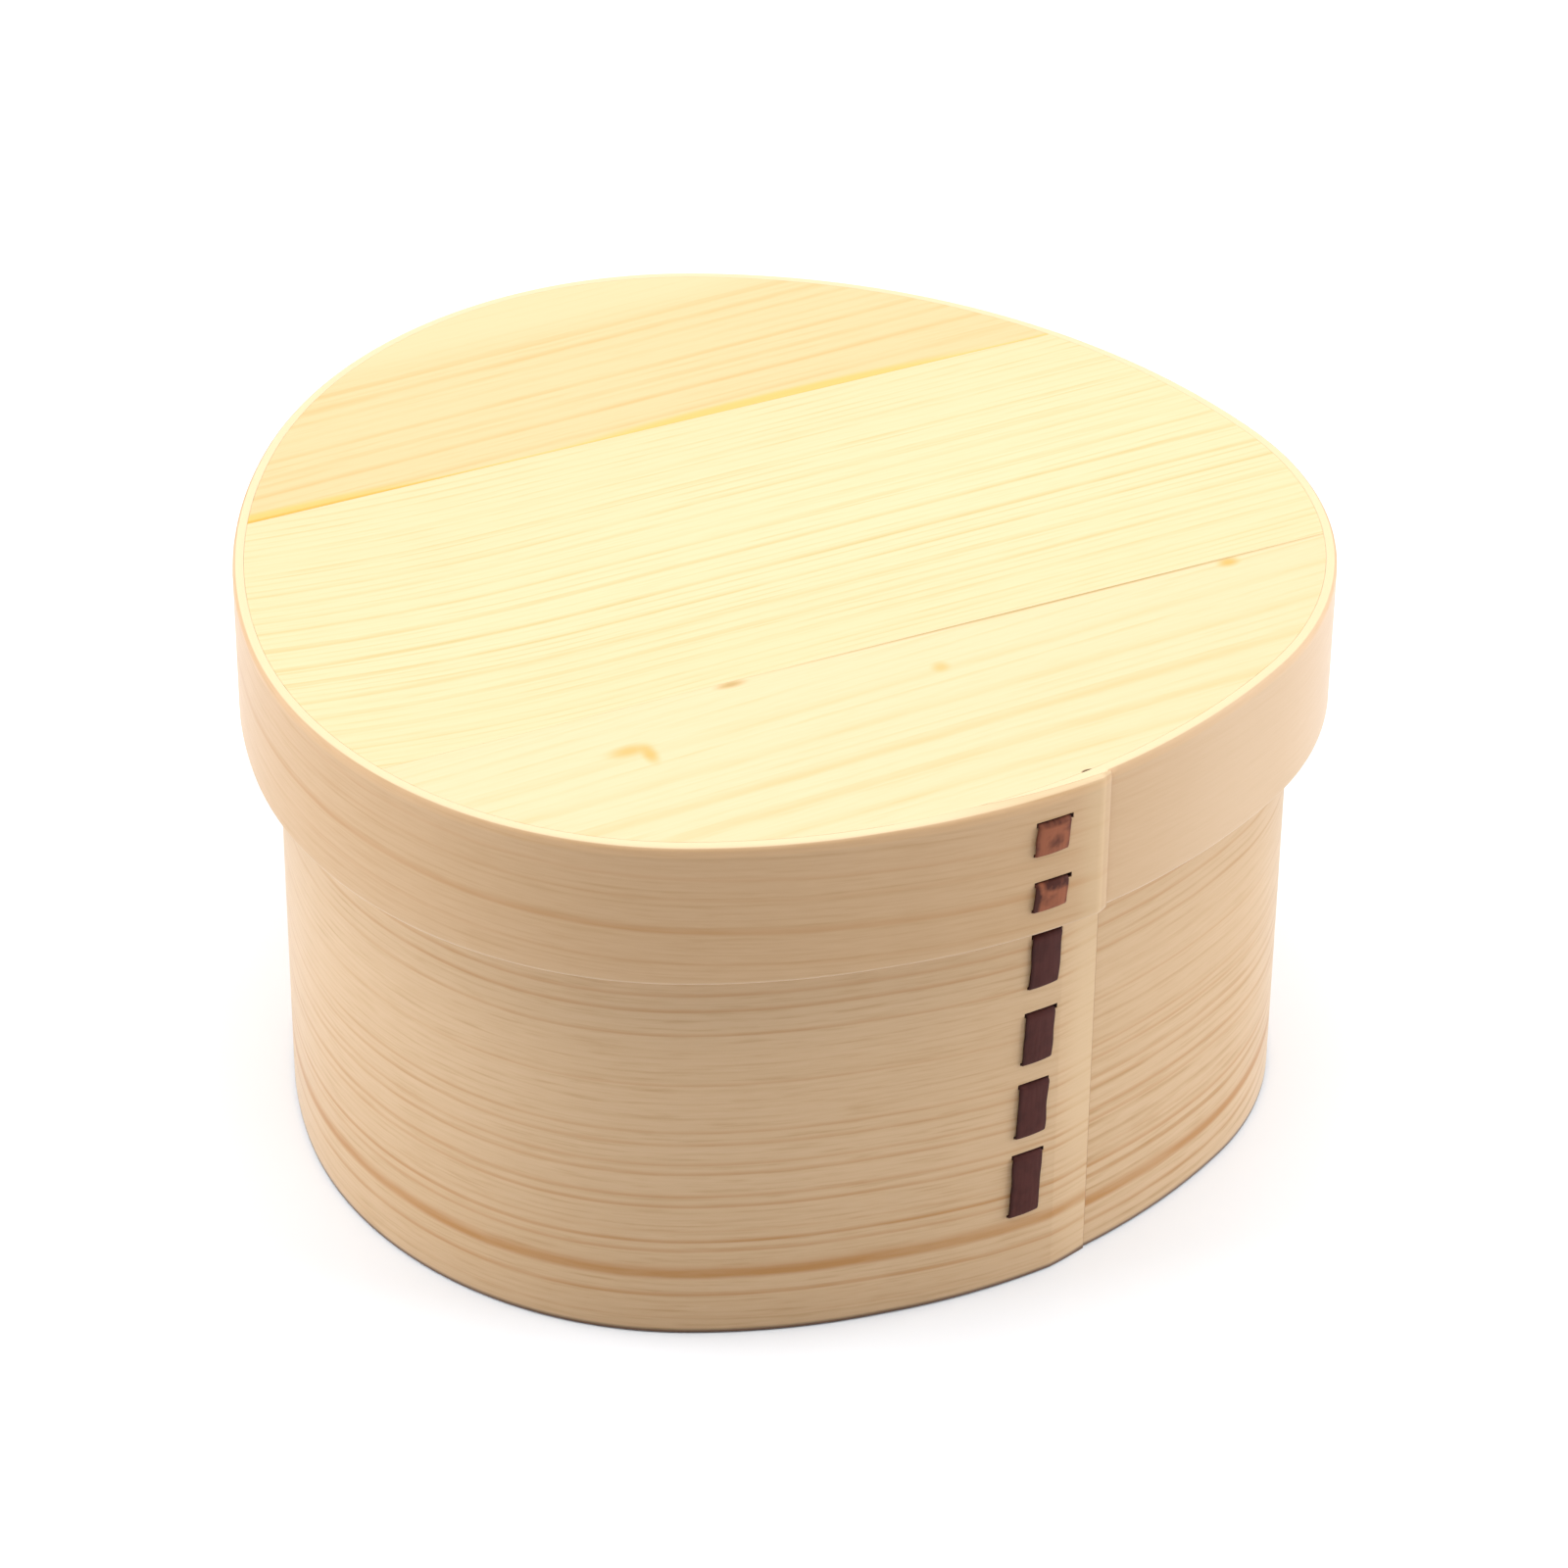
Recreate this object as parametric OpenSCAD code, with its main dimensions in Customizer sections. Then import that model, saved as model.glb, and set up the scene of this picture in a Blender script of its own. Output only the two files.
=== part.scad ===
// Bentwood lunch box with an egg-shaped plan: two bent bands, plank boards set into them, and bark stitching.
// Millimetres. The origin lies under the middle of the plan, on the face that the box stands on.
// +X runs along the egg towards its pointed end, and +Z is up.

/* [Outline of the lid] */
// Radius of the pointed end
tip_r = 43.7; // [42:0.1:46]
// Radius of the two shoulders
shoulder_r = 59; // [57:0.1:61]
// Radius of the blunt end
blunt_r = 78.3; // [72:0.1:86]

/* [Bent bands] */
// Thickness of the bent strips
band_t = 3; // [2.4:0.1:4]
// Height of the lid band
lid_h = 21.9; // [20:0.1:30]
// Height of the box band
box_h = 82.1; // [50:0.1:110]
// Gap between the lid band and the box band
lid_play = 2; // [1.9:0.1:3]
// Width of the ledge in each band that a board sits against
ledge_w = 1.5; // [0.6:0.1:1.6]
// Rounding of the lid's upper outside edge
arris_r = 0.8; // [0.3:0.1:0.9]
// Rounding of the bands' other edges
edge_r = 0.4; // [0.2:0.1:0.6]

/* [Boards] */
// Thickness of the lid board
lid_board_t = 3.6; // [3:0.1:5]
// Thickness of the base board
base_t = 4.5; // [3:0.1:7]
// Turn of the planks' grain from the long axis
grain_turn = 22.6; // [0:0.1:45]
// Width of the middle plank
middle_plank_w = 56; // [40:0.5:70]
// Distance of the middle plank's centre line from the origin
middle_plank_off = 3.2; // [-10:0.1:10]
// Glue gap round the edge of a board
board_gap = 0.05; // [0.02:0.01:0.2]

/* [Lapped ends] */
// Distance along the wall from the widest point to the end of the outer lap
lap_at = 56.4; // [50:0.1:60]
// Length of the lap
lap_l = 30; // [24:0.5:36]
// How far the outer end stands proud
lap_step = 1; // [0.6:0.1:1.2]
// Thickness left at the inner end
lap_tip = 0.5; // [0.3:0.1:0.8]
// Thickness left at the outer end, past its bevel
lap_blunt = 0.3; // [0.2:0.1:0.5]
// Length of the bevel on the lid band's outer end
lid_bevel = 1.2; // [0.8:0.1:3]
// Length of the bevel on the box band's outer end
box_bevel = 5; // [1:0.1:5.5]
// Thickness of the glue line between the lapped ends
glue_line = 0.1; // [0.05:0.01:0.2]

/* [Bark stitching] */
// Thickness of the bark strip
bark_t = 0.4; // [0.3:0.05:0.5]
// Gap between the bark and the wood
bark_gap = 0.03; // [0.02:0.01:0.1]
// Spare height of a slit above or below the bark in it
slit_play = 0.35; // [0.2:0.05:0.6]
// Width of the lid's bark strip
lid_bark_w = 4.8; // [3.5:0.1:6]
// Height of a stitch on the lid
lid_stitch_h = 5.1; // [4:0.1:6]
// Distance between stitches on the lid
lid_pitch = 9.5; // [8:0.1:12]
// Distance along the wall from the lid's outer end to its stitches
lid_stitch_back = 8.9; // [6:0.1:12]
// Gap between the lid board and the highest stitch
board_to_stitch = 0.5; // [0.45:0.05:2]
// Width of the box's bark strip
box_bark_w = 4.3; // [3.5:0.1:6]
// Height of a stitch on the box
box_stitch_h = 9.2; // [7:0.1:10]
// Distance between stitches on the box
box_pitch = 12.6; // [11.5:0.1:16]
// Distance along the wall from the box's outer end to the middle of its stitches
box_stitch_back = 9.3; // [7:0.1:12]
// Gap between the base board and the lowest stitch
base_to_stitch = 7; // [3:0.1:12]
// Lean of the box's line of stitches from upright
stitch_lean = 2.7; // [0:0.1:4]
// Least height left clear between the stitches and a band's free edge
free_edge = 2; // [1:0.5:12]
// Length of the bark's tucked ends, behind the first and last stitch
bark_tail = 3.6; // [2:0.1:3.8]

/* [Hidden] */
$fn = 144;
reach = 300;
cut = 1;

// The outline is a chain of tangent arcs. Neighbouring arcs meet on these unit rays, which run from their centres.
tip_ray = [0.8, 0.6];
side_ray = [0, 1];
blunt_ray = [-0.96, 0.28];

// The flanks' radius is the one that brings the chain back to the long axis
flank_r = (shoulder_r * (side_ray.y - blunt_ray.y) + blunt_r * blunt_ray.y - tip_r * tip_ray.y)
  / (side_ray.y - tip_ray.y);
flank_from_tip = (tip_r - flank_r) * tip_ray;
shoulder_from_tip = flank_from_tip + (flank_r - shoulder_r) * side_ray;
blunt_from_tip = shoulder_from_tip + (shoulder_r - blunt_r) * blunt_ray;
plan_l = tip_r + blunt_r - blunt_from_tip.x;
tip_c = [plan_l / 2 - tip_r, 0];
flank_c = tip_c + flank_from_tip;
shoulder_c = tip_c + shoulder_from_tip;
blunt_c = tip_c + blunt_from_tip;

// Each arc: its centre, its radius on the lid, and the rays at its two ends
arcs = [
  [tip_c, tip_r, across(tip_ray), tip_ray],
  [flank_c, flank_r, tip_ray, side_ray],
  [shoulder_c, shoulder_r, side_ray, blunt_ray],
  [blunt_c, blunt_r, blunt_ray, across(blunt_ray)],
  [across(shoulder_c), shoulder_r, across(blunt_ray), across(side_ray)],
  [across(flank_c), flank_r, across(side_ray), across(tip_ray)],
];

// The lid stands round the box, and its board rests on the rim of the box
box_inset = band_t + lid_play;
lid_z = box_h + lid_board_t - lid_h;
rim_w = band_t - ledge_w;

// Both laps lie on the flank in front, and are measured about its centre
lap_c = across(flank_c);

// Stitches are counted from the board, down the lid and up the box, to the band's free edge
lid_stitch_top = lid_h - lid_board_t - board_to_stitch;
lid_stitches = 1 + floor((lid_stitch_top - lid_stitch_h - free_edge) / lid_pitch);
box_stitch_foot = base_t + base_to_stitch;
box_stitches = 1 + floor((box_h - box_stitch_foot - box_stitch_h - free_edge - base_to_stitch) / box_pitch);
lid_stitch_feet = [for (i = [0 : lid_stitches - 1]) lid_stitch_top - lid_stitch_h - i * lid_pitch];
box_stitch_feet = [for (i = [0 : box_stitches - 1]) box_stitch_foot + i * box_pitch];

function across(v) = [v.x, -v.y];
function heading(a) = [cos(a), sin(a)];
function degrees(arc_length, r) = arc_length / r * 180 / PI;

// Turn, about the front flank's centre, of the outer lap's end and of the inner lap's end
function outer_turn(r) = degrees(lap_at, r) - 90;
function inner_turn(r) = outer_turn(r) - degrees(lap_l, r);

// Centre of the arc of radius r that runs anticlockwise from p to q
function arc_centre(p, q, r) =
  let (d = q - p, l = norm(d))
  (p + q) / 2 + sqrt(r * r - l * l / 4) * [-d.y, d.x] / l;

// Centre of the outer end's face, which rises from just off the wall to stand proud by the step
function rise_centre(r) =
  arc_centre((r + glue_line / 2) * heading(inner_turn(r)), (r + lap_step) * heading(outer_turn(r)), r);

// Centre of the scarf between the ends, which runs from the inner end's tip out to the wall's face
function scarf_centre(r) =
  arc_centre((r - band_t + lap_tip) * heading(inner_turn(r)), r * heading(outer_turn(r)), r);

// Turn of a stitch that stands at height z, on a line that leans about height middle
function stitch_turn(r, back, lean, z, middle) =
  outer_turn(r) - degrees(back - (z - middle) * tan(lean), r);

module wedge(from, to) {
  polygon(reach * [[0, 0], from, from + to, to]);
}

module fan(from, to) {
  polygon(reach * [[0, 0], heading(from), heading(to)]);
}

// Carries a section, drawn with its outer face on the Y axis, round the outline
module sweep(inset) {
  for (arc = arcs)
    translate(arc[0])
      intersection() {
        rotate_extrude() translate([arc[1] - inset, 0]) children();
        linear_extrude(reach) wedge(arc[2], arc[3]);
      }
}

// The whole plan, set in from the lid's outer face
module plan(inset) {
  for (arc = arcs)
    translate(arc[0])
      intersection() {
        circle(arc[1] - inset);
        wedge(arc[2], arc[3]);
      }
  polygon([for (arc = arcs) arc[0] + (arc[1] - inset) * arc[2]]);
}

// What rounding takes off a corner at the origin, whose solid lies towards -X and -Y
module corner(r) {
  translate([-r, -r])
    difference() {
      square(r + cut);
      circle(r);
    }
}

module lid_section() {
  difference() {
    translate([-band_t, 0]) square([band_t, lid_h]);
    translate([-band_t - cut, lid_h - lid_board_t]) square([ledge_w + cut, lid_board_t + cut]);
    translate([0, lid_h]) corner(arris_r);
    mirror([0, 1]) corner(edge_r);
    translate([-band_t, 0]) rotate(180) corner(edge_r);
  }
}

module box_section() {
  difference() {
    translate([-band_t, 0]) square([band_t, box_h]);
    translate([-band_t - cut, -cut]) square([ledge_w + cut, base_t + cut]);
    translate([0, box_h]) corner(edge_r);
    translate([-band_t, box_h]) mirror([1, 0]) corner(edge_r);
    mirror([0, 1]) corner(edge_r);
  }
}

// The outer half of a band's end, carried out from the wall as it lies over the inner end
module outer_end(r) {
  intersection() {
    translate(rise_centre(r))
      rotate_extrude()
        translate([r, 0])
          intersection() {
            children();
            translate([-band_t / 2, 0]) square([band_t, reach]);
          }
    linear_extrude(reach) fan(inner_turn(r), outer_turn(r) - degrees(glue_line, r));
  }
}

// The bevel cut on the outer end, down to a blunt edge
module outer_bevel(r, bevel) {
  rotate(outer_turn(r))
    translate([r, 0])
      polygon([
        [lap_blunt, cut],
        [lap_blunt, -glue_line],
        [lap_step + bark_gap, -bevel],
        [lap_step + cut, -bevel],
        [lap_step + cut, cut],
      ]);
}

// The glue line: along the scarf, and across the inner end's tip
module lap_joint(r) {
  intersection() {
    translate(scarf_centre(r))
      difference() {
        circle(r + glue_line);
        circle(r);
      }
    fan(inner_turn(r) - 2 * degrees(glue_line, r), outer_turn(r) + degrees(band_t, r));
  }
  rotate(inner_turn(r))
    translate([r - band_t - cut, -glue_line])
      square([cut + lap_tip + glue_line / 2, glue_line]);
}

// A slit through both ends of a band, as high as the bark with its play
module slit(r, turn, width, foot, height) {
  rotate(turn)
    translate([r - band_t - cut, -width / 2, foot])
      cube([band_t + lap_step + 2 * cut, width, height]);
}

// One strip bent into a hoop. Its ends are scarfed, lapped, glued, and slit for the bark above and below each stitch
module bent_band(inset, bevel, bark_w, stitch_h, feet, back, lean) {
  r = flank_r - inset;
  middle = (min(feet) + max(feet) + stitch_h) / 2;
  slit_h = bark_t + bark_gap + slit_play;
  difference() {
    union() {
      sweep(inset) children();
      translate(lap_c) outer_end(r) children();
    }
    translate([lap_c.x, lap_c.y, -cut])
      linear_extrude(reach) {
        outer_bevel(r, bevel);
        lap_joint(r);
      }
    translate(lap_c)
      for (foot = feet) {
        turn = stitch_turn(r, back, lean, foot + stitch_h / 2, middle);
        width = bark_w + 2 * bark_gap;
        slit(r, turn, width, foot - slit_play, slit_h);
        slit(r, turn, width, foot + stitch_h - bark_t - bark_gap, slit_h);
      }
  }
}

// A length of bark between two heights, as wide as the strip; its plan is drawn about the flank's centre
module bark_length(turn, width, from, to) {
  translate([0, 0, from])
    linear_extrude(to - from)
      intersection() {
        children();
        rotate(turn) translate([0, -width / 2]) square([reach, width]);
      }
}

module bark_outside(r) {
  translate(rise_centre(r))
    difference() {
      circle(r + bark_gap + bark_t);
      circle(r + bark_gap);
    }
}

module bark_inside(r) {
  difference() {
    circle(r - band_t - bark_gap);
    circle(r - band_t - bark_gap - bark_t);
  }
}

module bark_through(r) {
  difference() {
    translate(rise_centre(r)) circle(r + bark_gap + bark_t);
    circle(r - band_t - bark_gap - bark_t);
  }
}

// One strip of bark in running stitch: down the outside, in through a slit, on behind the wall and out again
module running_stitch(inset, bark_w, stitch_h, feet, back, lean) {
  r = flank_r - inset;
  middle = (min(feet) + max(feet) + stitch_h) / 2;
  lowest = min(feet);
  highest = max(feet);
  pitch = len(feet) > 1 ? abs(feet[1] - feet[0]) : 0;
  translate(lap_c) {
    for (foot = feet) {
      top = foot + stitch_h;
      turn = stitch_turn(r, back, lean, foot + stitch_h / 2, middle);
      bark_length(turn, bark_w, foot, top) bark_outside(r);
      bark_length(turn, bark_w, foot, foot + bark_t) bark_through(r);
      bark_length(turn, bark_w, top - bark_t, top) bark_through(r);
      if (foot < highest)
        bark_length(turn, bark_w, top - bark_t, foot + pitch + bark_t) bark_inside(r);
    }
    first = stitch_turn(r, back, lean, lowest + stitch_h / 2, middle);
    last = stitch_turn(r, back, lean, highest + stitch_h / 2, middle);
    tail = min(bark_tail, stitch_h / 2 - bark_t);
    bark_length(first, bark_w, lowest, lowest + tail) bark_inside(r);
    bark_length(last, bark_w, highest + stitch_h - tail, highest + stitch_h) bark_inside(r);
  }
}

// The planks lie side by side along the grain, counted from the back
module plank(order, inset, thickness) {
  foot = [middle_plank_w / 2, -middle_plank_w / 2, -middle_plank_w / 2 - reach][order] + middle_plank_off;
  width = [reach, middle_plank_w, reach][order];
  linear_extrude(thickness)
    intersection() {
      plan(inset);
      rotate(grain_turn) translate([-reach, foot]) square([2 * reach, width]);
    }
}

module lid_plank(order) {
  translate([0, 0, lid_z + lid_h - lid_board_t]) plank(order, rim_w + board_gap, lid_board_t);
}

module base_plank(order) {
  plank(order, box_inset + rim_w + board_gap, base_t);
}

module lid_band() {
  color("#e0c29a")
    translate([0, 0, lid_z])
      bent_band(0, lid_bevel, lid_bark_w, lid_stitch_h, lid_stitch_feet, lid_stitch_back, 0) lid_section();
}

module lid_plank_back() {
  color("#f8dfa6") lid_plank(0);
}

module lid_plank_middle() {
  color("#fbecb8") lid_plank(1);
}

module lid_plank_front() {
  color("#f9e6b0") lid_plank(2);
}

module lid_bark() {
  color("#8a5340")
    translate([0, 0, lid_z])
      running_stitch(0, lid_bark_w, lid_stitch_h, lid_stitch_feet, lid_stitch_back, 0);
}

module box_band() {
  color("#dcbc92")
    bent_band(box_inset, box_bevel, box_bark_w, box_stitch_h, box_stitch_feet, box_stitch_back, stitch_lean)
      box_section();
}

module base_plank_back() {
  color("#f0d8a4") base_plank(0);
}

module base_plank_middle() {
  color("#f4e0b0") base_plank(1);
}

module base_plank_front() {
  color("#f2dca9") base_plank(2);
}

module box_bark() {
  color("#5c3835")
    running_stitch(box_inset, box_bark_w, box_stitch_h, box_stitch_feet, box_stitch_back, stitch_lean);
}

lid_band();
lid_plank_back();
lid_plank_middle();
lid_plank_front();
lid_bark();
box_band();
base_plank_back();
base_plank_middle();
base_plank_front();
box_bark();
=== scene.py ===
import math

import bmesh
import bpy
import numpy as np
from mathutils import Matrix, Vector, noise


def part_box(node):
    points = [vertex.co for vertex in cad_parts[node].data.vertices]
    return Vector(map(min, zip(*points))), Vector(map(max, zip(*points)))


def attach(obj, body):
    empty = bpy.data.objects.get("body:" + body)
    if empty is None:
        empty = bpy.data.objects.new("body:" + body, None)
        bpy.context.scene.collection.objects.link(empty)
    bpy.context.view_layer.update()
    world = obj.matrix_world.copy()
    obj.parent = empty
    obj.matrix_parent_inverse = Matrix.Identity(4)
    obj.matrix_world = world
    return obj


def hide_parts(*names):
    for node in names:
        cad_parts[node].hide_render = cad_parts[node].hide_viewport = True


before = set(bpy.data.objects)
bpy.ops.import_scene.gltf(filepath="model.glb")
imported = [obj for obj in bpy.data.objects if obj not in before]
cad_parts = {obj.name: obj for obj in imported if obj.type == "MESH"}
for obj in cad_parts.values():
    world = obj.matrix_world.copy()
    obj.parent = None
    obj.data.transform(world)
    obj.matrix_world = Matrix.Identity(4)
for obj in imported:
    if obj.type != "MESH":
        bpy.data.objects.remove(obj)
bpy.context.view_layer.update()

# The box band is one strip of pale softwood, steamed and bent round a form into an egg-shaped hoop.
# Its inner end is pared to a thin tip, its outer end is bevelled and laps over it, and both are glued.
# A rabbet inside its foot takes the base board, and slits are chiselled through the lap for the bark.
box_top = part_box("box_band")[1].z
base_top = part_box("base_plank_middle")[1].z
tip_r = 0.0437
shoulder_r = 0.059
blunt_r = 0.0783
tip_turn = math.atan2(0.6, 0.8)
blunt_turn = math.atan2(0.28, -0.96)
widest_turn = math.pi / 2
band_t = 0.003
rabbet_w = 0.0015
box_inset = 0.005
lap_at = 0.0564
lap_l = 0.03
lap_step = 0.001
lap_tip = 0.0005
box_blunt = 0.00012
bevel_cuts = 6
bevel_belly = 0.3
glue_line = 0.00002
edge_round = 0.0004
edge_support = 0.0012
rim_ease = 0.00005
sliver = 0.00002
weld = 1e-7
coarse_step = 0.0014
fine_step = 0.0006
sharp_angle = math.radians(32)
box_bevel = 0.006


def heading(turn):
    return Vector((math.cos(turn), math.sin(turn), 0))


def upright(height):
    return Vector((0, 0, height))


def to_front(place):
    return Vector((place.x, -place.y, place.z))


flank_r = (
    shoulder_r * (1 - math.sin(blunt_turn)) + blunt_r * math.sin(blunt_turn) - tip_r * math.sin(tip_turn)
) / (1 - math.sin(tip_turn))
tip_c = Vector((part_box("lid_band")[1].x - tip_r, 0, 0))
flank_c = tip_c + (tip_r - flank_r) * heading(tip_turn)
shoulder_c = flank_c + (flank_r - shoulder_r) * heading(widest_turn)
blunt_c = shoulder_c + (shoulder_r - blunt_r) * heading(blunt_turn)
lap_c = to_front(flank_c)

# The bends from the pointed end, round the back, to the widest place in front: centre, radius and turns
bends = [
    (tip_c, tip_r, -tip_turn, tip_turn),
    (flank_c, flank_r, tip_turn, widest_turn),
    (shoulder_c, shoulder_r, widest_turn, blunt_turn),
    (blunt_c, blunt_r, blunt_turn, 2 * math.pi - blunt_turn),
    (to_front(shoulder_c), shoulder_r, 2 * math.pi - blunt_turn, 2 * math.pi - widest_turn),
]


def outer_turn(inset):
    """Turn about the front flank's centre at which the outer end of a band stops"""
    return lap_at / (flank_r - inset) - widest_turn


def scarf(share):
    """How far out the face between the lapped ends lies, from the inner end's tip to the outer end"""
    return (band_t - lap_tip) * (share - 1)


def spin_round(bm, ring, centre, start, stop, steps):
    """Carries vertices and edges round a bend and gives the last ring of them"""
    spun = bmesh.ops.spin(
        bm, geom=ring, cent=centre, axis=(0, 0, 1), angle=stop - start, steps=max(1, round(steps))
    )
    return spun["geom_last"]


def bend_strip(corners, inset, bevel):
    """Bends a strip round the outline, lap to lap. Corners of its section: in from the face, up, rounding"""
    bm = bmesh.new()
    strip = bm.verts.layers.float_vector.new("strip")
    bm.verts.layers.float.new("cut")
    r = flank_r - inset
    over_stop = outer_turn(inset)
    under_start = over_stop - lap_l / r
    over_start = under_start - glue_line / 4 / r
    butt = under_start - glue_line / r
    bevel_start = over_stop - bevel / r
    walk = [(lap_c, r, under_start, over_stop, fine_step), (lap_c, r, over_stop, -tip_turn, coarse_step)]
    walk += [(centre, radius - inset, start, stop, coarse_step) for centre, radius, start, stop in bends]
    walk += [
        (lap_c, r, -widest_turn, butt, coarse_step),
        (lap_c, r, butt, over_start, fine_step),
        (lap_c, r, over_start, bevel_start, fine_step),
        (lap_c, r, bevel_start, over_stop, bevel / bevel_cuts),
    ]
    section = []
    for depth, up, _ in corners:
        section.append(bm.verts.new(lap_c + (r + depth) * heading(under_start) + upright(up)))
    bm.faces.new(section)
    for rounding in sorted({corner[2] for corner in corners if corner[2]}):
        rounded = [v for v, corner in zip(section, corners) if corner[2] == rounding]
        bmesh.ops.bevel(
            bm, geom=rounded, offset=rounding, offset_type="OFFSET", segments=4, profile=0.5,
            affect="VERTICES", material=-1,
        )
    bmesh.ops.delete(bm, geom=bm.faces[:], context="FACES_ONLY")
    ring = bm.verts[:] + bm.edges[:]
    bmesh.ops.edgeloop_fill(bm, edges=bm.edges[:])
    for v in bm.verts:
        v[strip] = (0, (v.co - lap_c).xy.length - r, v.co.z)
    gone = 0
    for centre, radius, start, stop, step in walk:
        placed = set(bm.verts)
        ring = spin_round(bm, ring, centre, start, stop, (stop - start) * radius / step)
        for v in bm.verts:
            if v not in placed:
                arm = v.co - centre
                turned = (math.atan2(arm.y, arm.x) - start) % (2 * math.pi)
                v[strip] = (gone + turned * radius, arm.xy.length - radius, v.co.z)
        gone += (stop - start) * radius
    bmesh.ops.edgeloop_fill(bm, edges=[e for e in ring if isinstance(e, bmesh.types.BMEdge)])
    return bm, gone


def lap_ends(bm, strip_l, bevel, blunt, ledge, opening):
    """Pares the inner end to its tip and carries the outer end out over it. The rabbet runs from ledge to
    opening. The faces that are glued together keep square edges, so that no groove shows between them"""
    strip = bm.verts.layers.float_vector["strip"]
    low, high = min(ledge, opening), max(ledge, opening)
    lowest, highest = [limit(v.co.z for v in bm.verts) for limit in (min, max)]
    rabbet_face = rabbet_w - band_t
    crest = lap_step * (1 - bevel / lap_l)
    for v in bm.verts:
        along, depth, up = v[strip]
        left = strip_l - along
        beside_rabbet = low <= up <= high and depth > rabbet_face - sliver
        if along < lap_l:
            inner, outer = -band_t, scarf(along / lap_l)
            shelf = min(rabbet_face, outer - sliver)
            glued = depth > rabbet_face / 2 and along < lap_l - fine_step / 2
            if beside_rabbet and outer < rabbet_face:
                glued = False
                v.co.z = ledge + (up - ledge) / abs(opening - ledge) * sliver
        elif left < lap_l + glue_line / 2:
            share = min(1, max(0, 1 - left / lap_l))
            inner, outer = scarf(share) + glue_line, lap_step * share
            if left < bevel:
                uncut = left / bevel
                outer = blunt + (crest - blunt) * uncut * (1 + bevel_belly * (1 - uncut))
            shelf = max(rabbet_face, inner + sliver)
            glued = depth < rabbet_face + rim_ease + sliver
        else:
            continue
        edge = lowest if up < (lowest + highest) / 2 else highest
        if glued and abs(up - edge) < edge_support - sliver:
            v.co.z = edge
            v[strip] = (along, depth, edge)
        if beside_rabbet:
            new_depth = shelf + (outer - shelf) * (1 - depth / rabbet_face)
        else:
            new_depth = inner + (outer - inner) * (1 + depth / band_t)
        arm = v.co - lap_c
        v.co += (new_depth - depth) * Vector((arm.x, arm.y, 0)).normalized()
    bmesh.ops.recalc_face_normals(bm, faces=bm.faces[:])


face_on = 0.8


def cut_slit(bm, on_outside, place, width, low, high, deep):
    """Chisels one slit, centred on a turn about the front flank's centre, into one face of the lap"""
    centre_turn, r = place
    edges = [centre_turn - width / 2 / r, centre_turn + width / 2 / r]
    reach_turn = 2 * width / r

    def near(face):
        arm = face.calc_center_median() - lap_c
        if abs(math.atan2(arm.y, arm.x) - centre_turn) > reach_turn:
            return False
        outward = face.normal.dot(heading(math.atan2(arm.y, arm.x)))
        if on_outside:
            return outward > face_on and arm.xy.length > r - band_t / 4
        return outward < -face_on and arm.xy.length < r - band_t * 3 / 4

    cuts = [(lap_c, Matrix.Rotation(turn, 3, "Z") @ Vector((0, 1, 0))) for turn in edges]
    cuts += [(upright(height), Vector((0, 0, 1))) for height in (low, high)]
    faces = [f for f in bm.faces if near(f)]
    for plane_co, plane_no in cuts:
        sides = dict.fromkeys(e for f in faces for e in f.edges)
        corners = dict.fromkeys(v for f in faces for v in f.verts)
        geom = faces + list(sides) + list(corners)
        sliced = bmesh.ops.bisect_plane(bm, geom=geom, dist=weld, plane_co=plane_co, plane_no=plane_no)
        faces = [f for f in sliced["geom"] if isinstance(f, bmesh.types.BMFace)]
    mouth = []
    for f in faces:
        middle = f.calc_center_median()
        turn = math.atan2(middle.y - lap_c.y, middle.x - lap_c.x)
        if edges[0] < turn < edges[1] and low < middle.z < high:
            mouth.append(f)
    inward = heading(centre_turn) * (-deep if on_outside else deep)
    pocket = bmesh.ops.extrude_face_region(bm, geom=mouth)["geom"]
    bottom = [v for v in pocket if isinstance(v, bmesh.types.BMVert)]
    bmesh.ops.translate(bm, verts=bottom, vec=inward)
    bmesh.ops.delete(bm, geom=mouth, context="FACES")
    for v in bottom:
        v[bm.verts.layers.float["cut"]] = 1


box_corners = [
    (0, 0, edge_round),
    (0, edge_support, 0),
    (0, box_top - edge_support, 0),
    (0, box_top, edge_round),
    (-band_t, box_top, edge_round),
    (-band_t, box_top - edge_support, 0),
    (-band_t, base_top, 0),
    (rabbet_w - band_t, base_top, 0),
    (rabbet_w - band_t, 0, 0),
]
box_bm, box_strip_l = bend_strip(box_corners, box_inset, box_bevel)
lap_ends(box_bm, box_strip_l, box_bevel, box_blunt, base_top, 0)

# Foot, top and overcut of each of the box's stitches. Their line leans to the right as it rises
box_stitches = [
    (0.0117, 0.0224, 0.0002),
    (0.0252, 0.0344, 0),
    (0.0376, 0.0463, 0.0003),
    (0.0502, 0.0592, 0),
    (0.0630, 0.0712, 0),
]
box_bark_w = 0.0043
box_stitch_back = 0.0093
box_sway = [(0.0117, -0.0014), (0.0712, 0.0014)]
slit_deep = 0.0007
slit_top_h = 0.0008
slit_foot_h = 0.0005
slit_play = 0.00012


def stitch_turn(inset, back, sway, height):
    """Turn of a line of stitches at a height. Its sway is how far right it stands, height by height"""
    heights, sideways = zip(*sway)
    return outer_turn(inset) - (back - np.interp(height, heights, sideways)) / (flank_r - inset)


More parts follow.
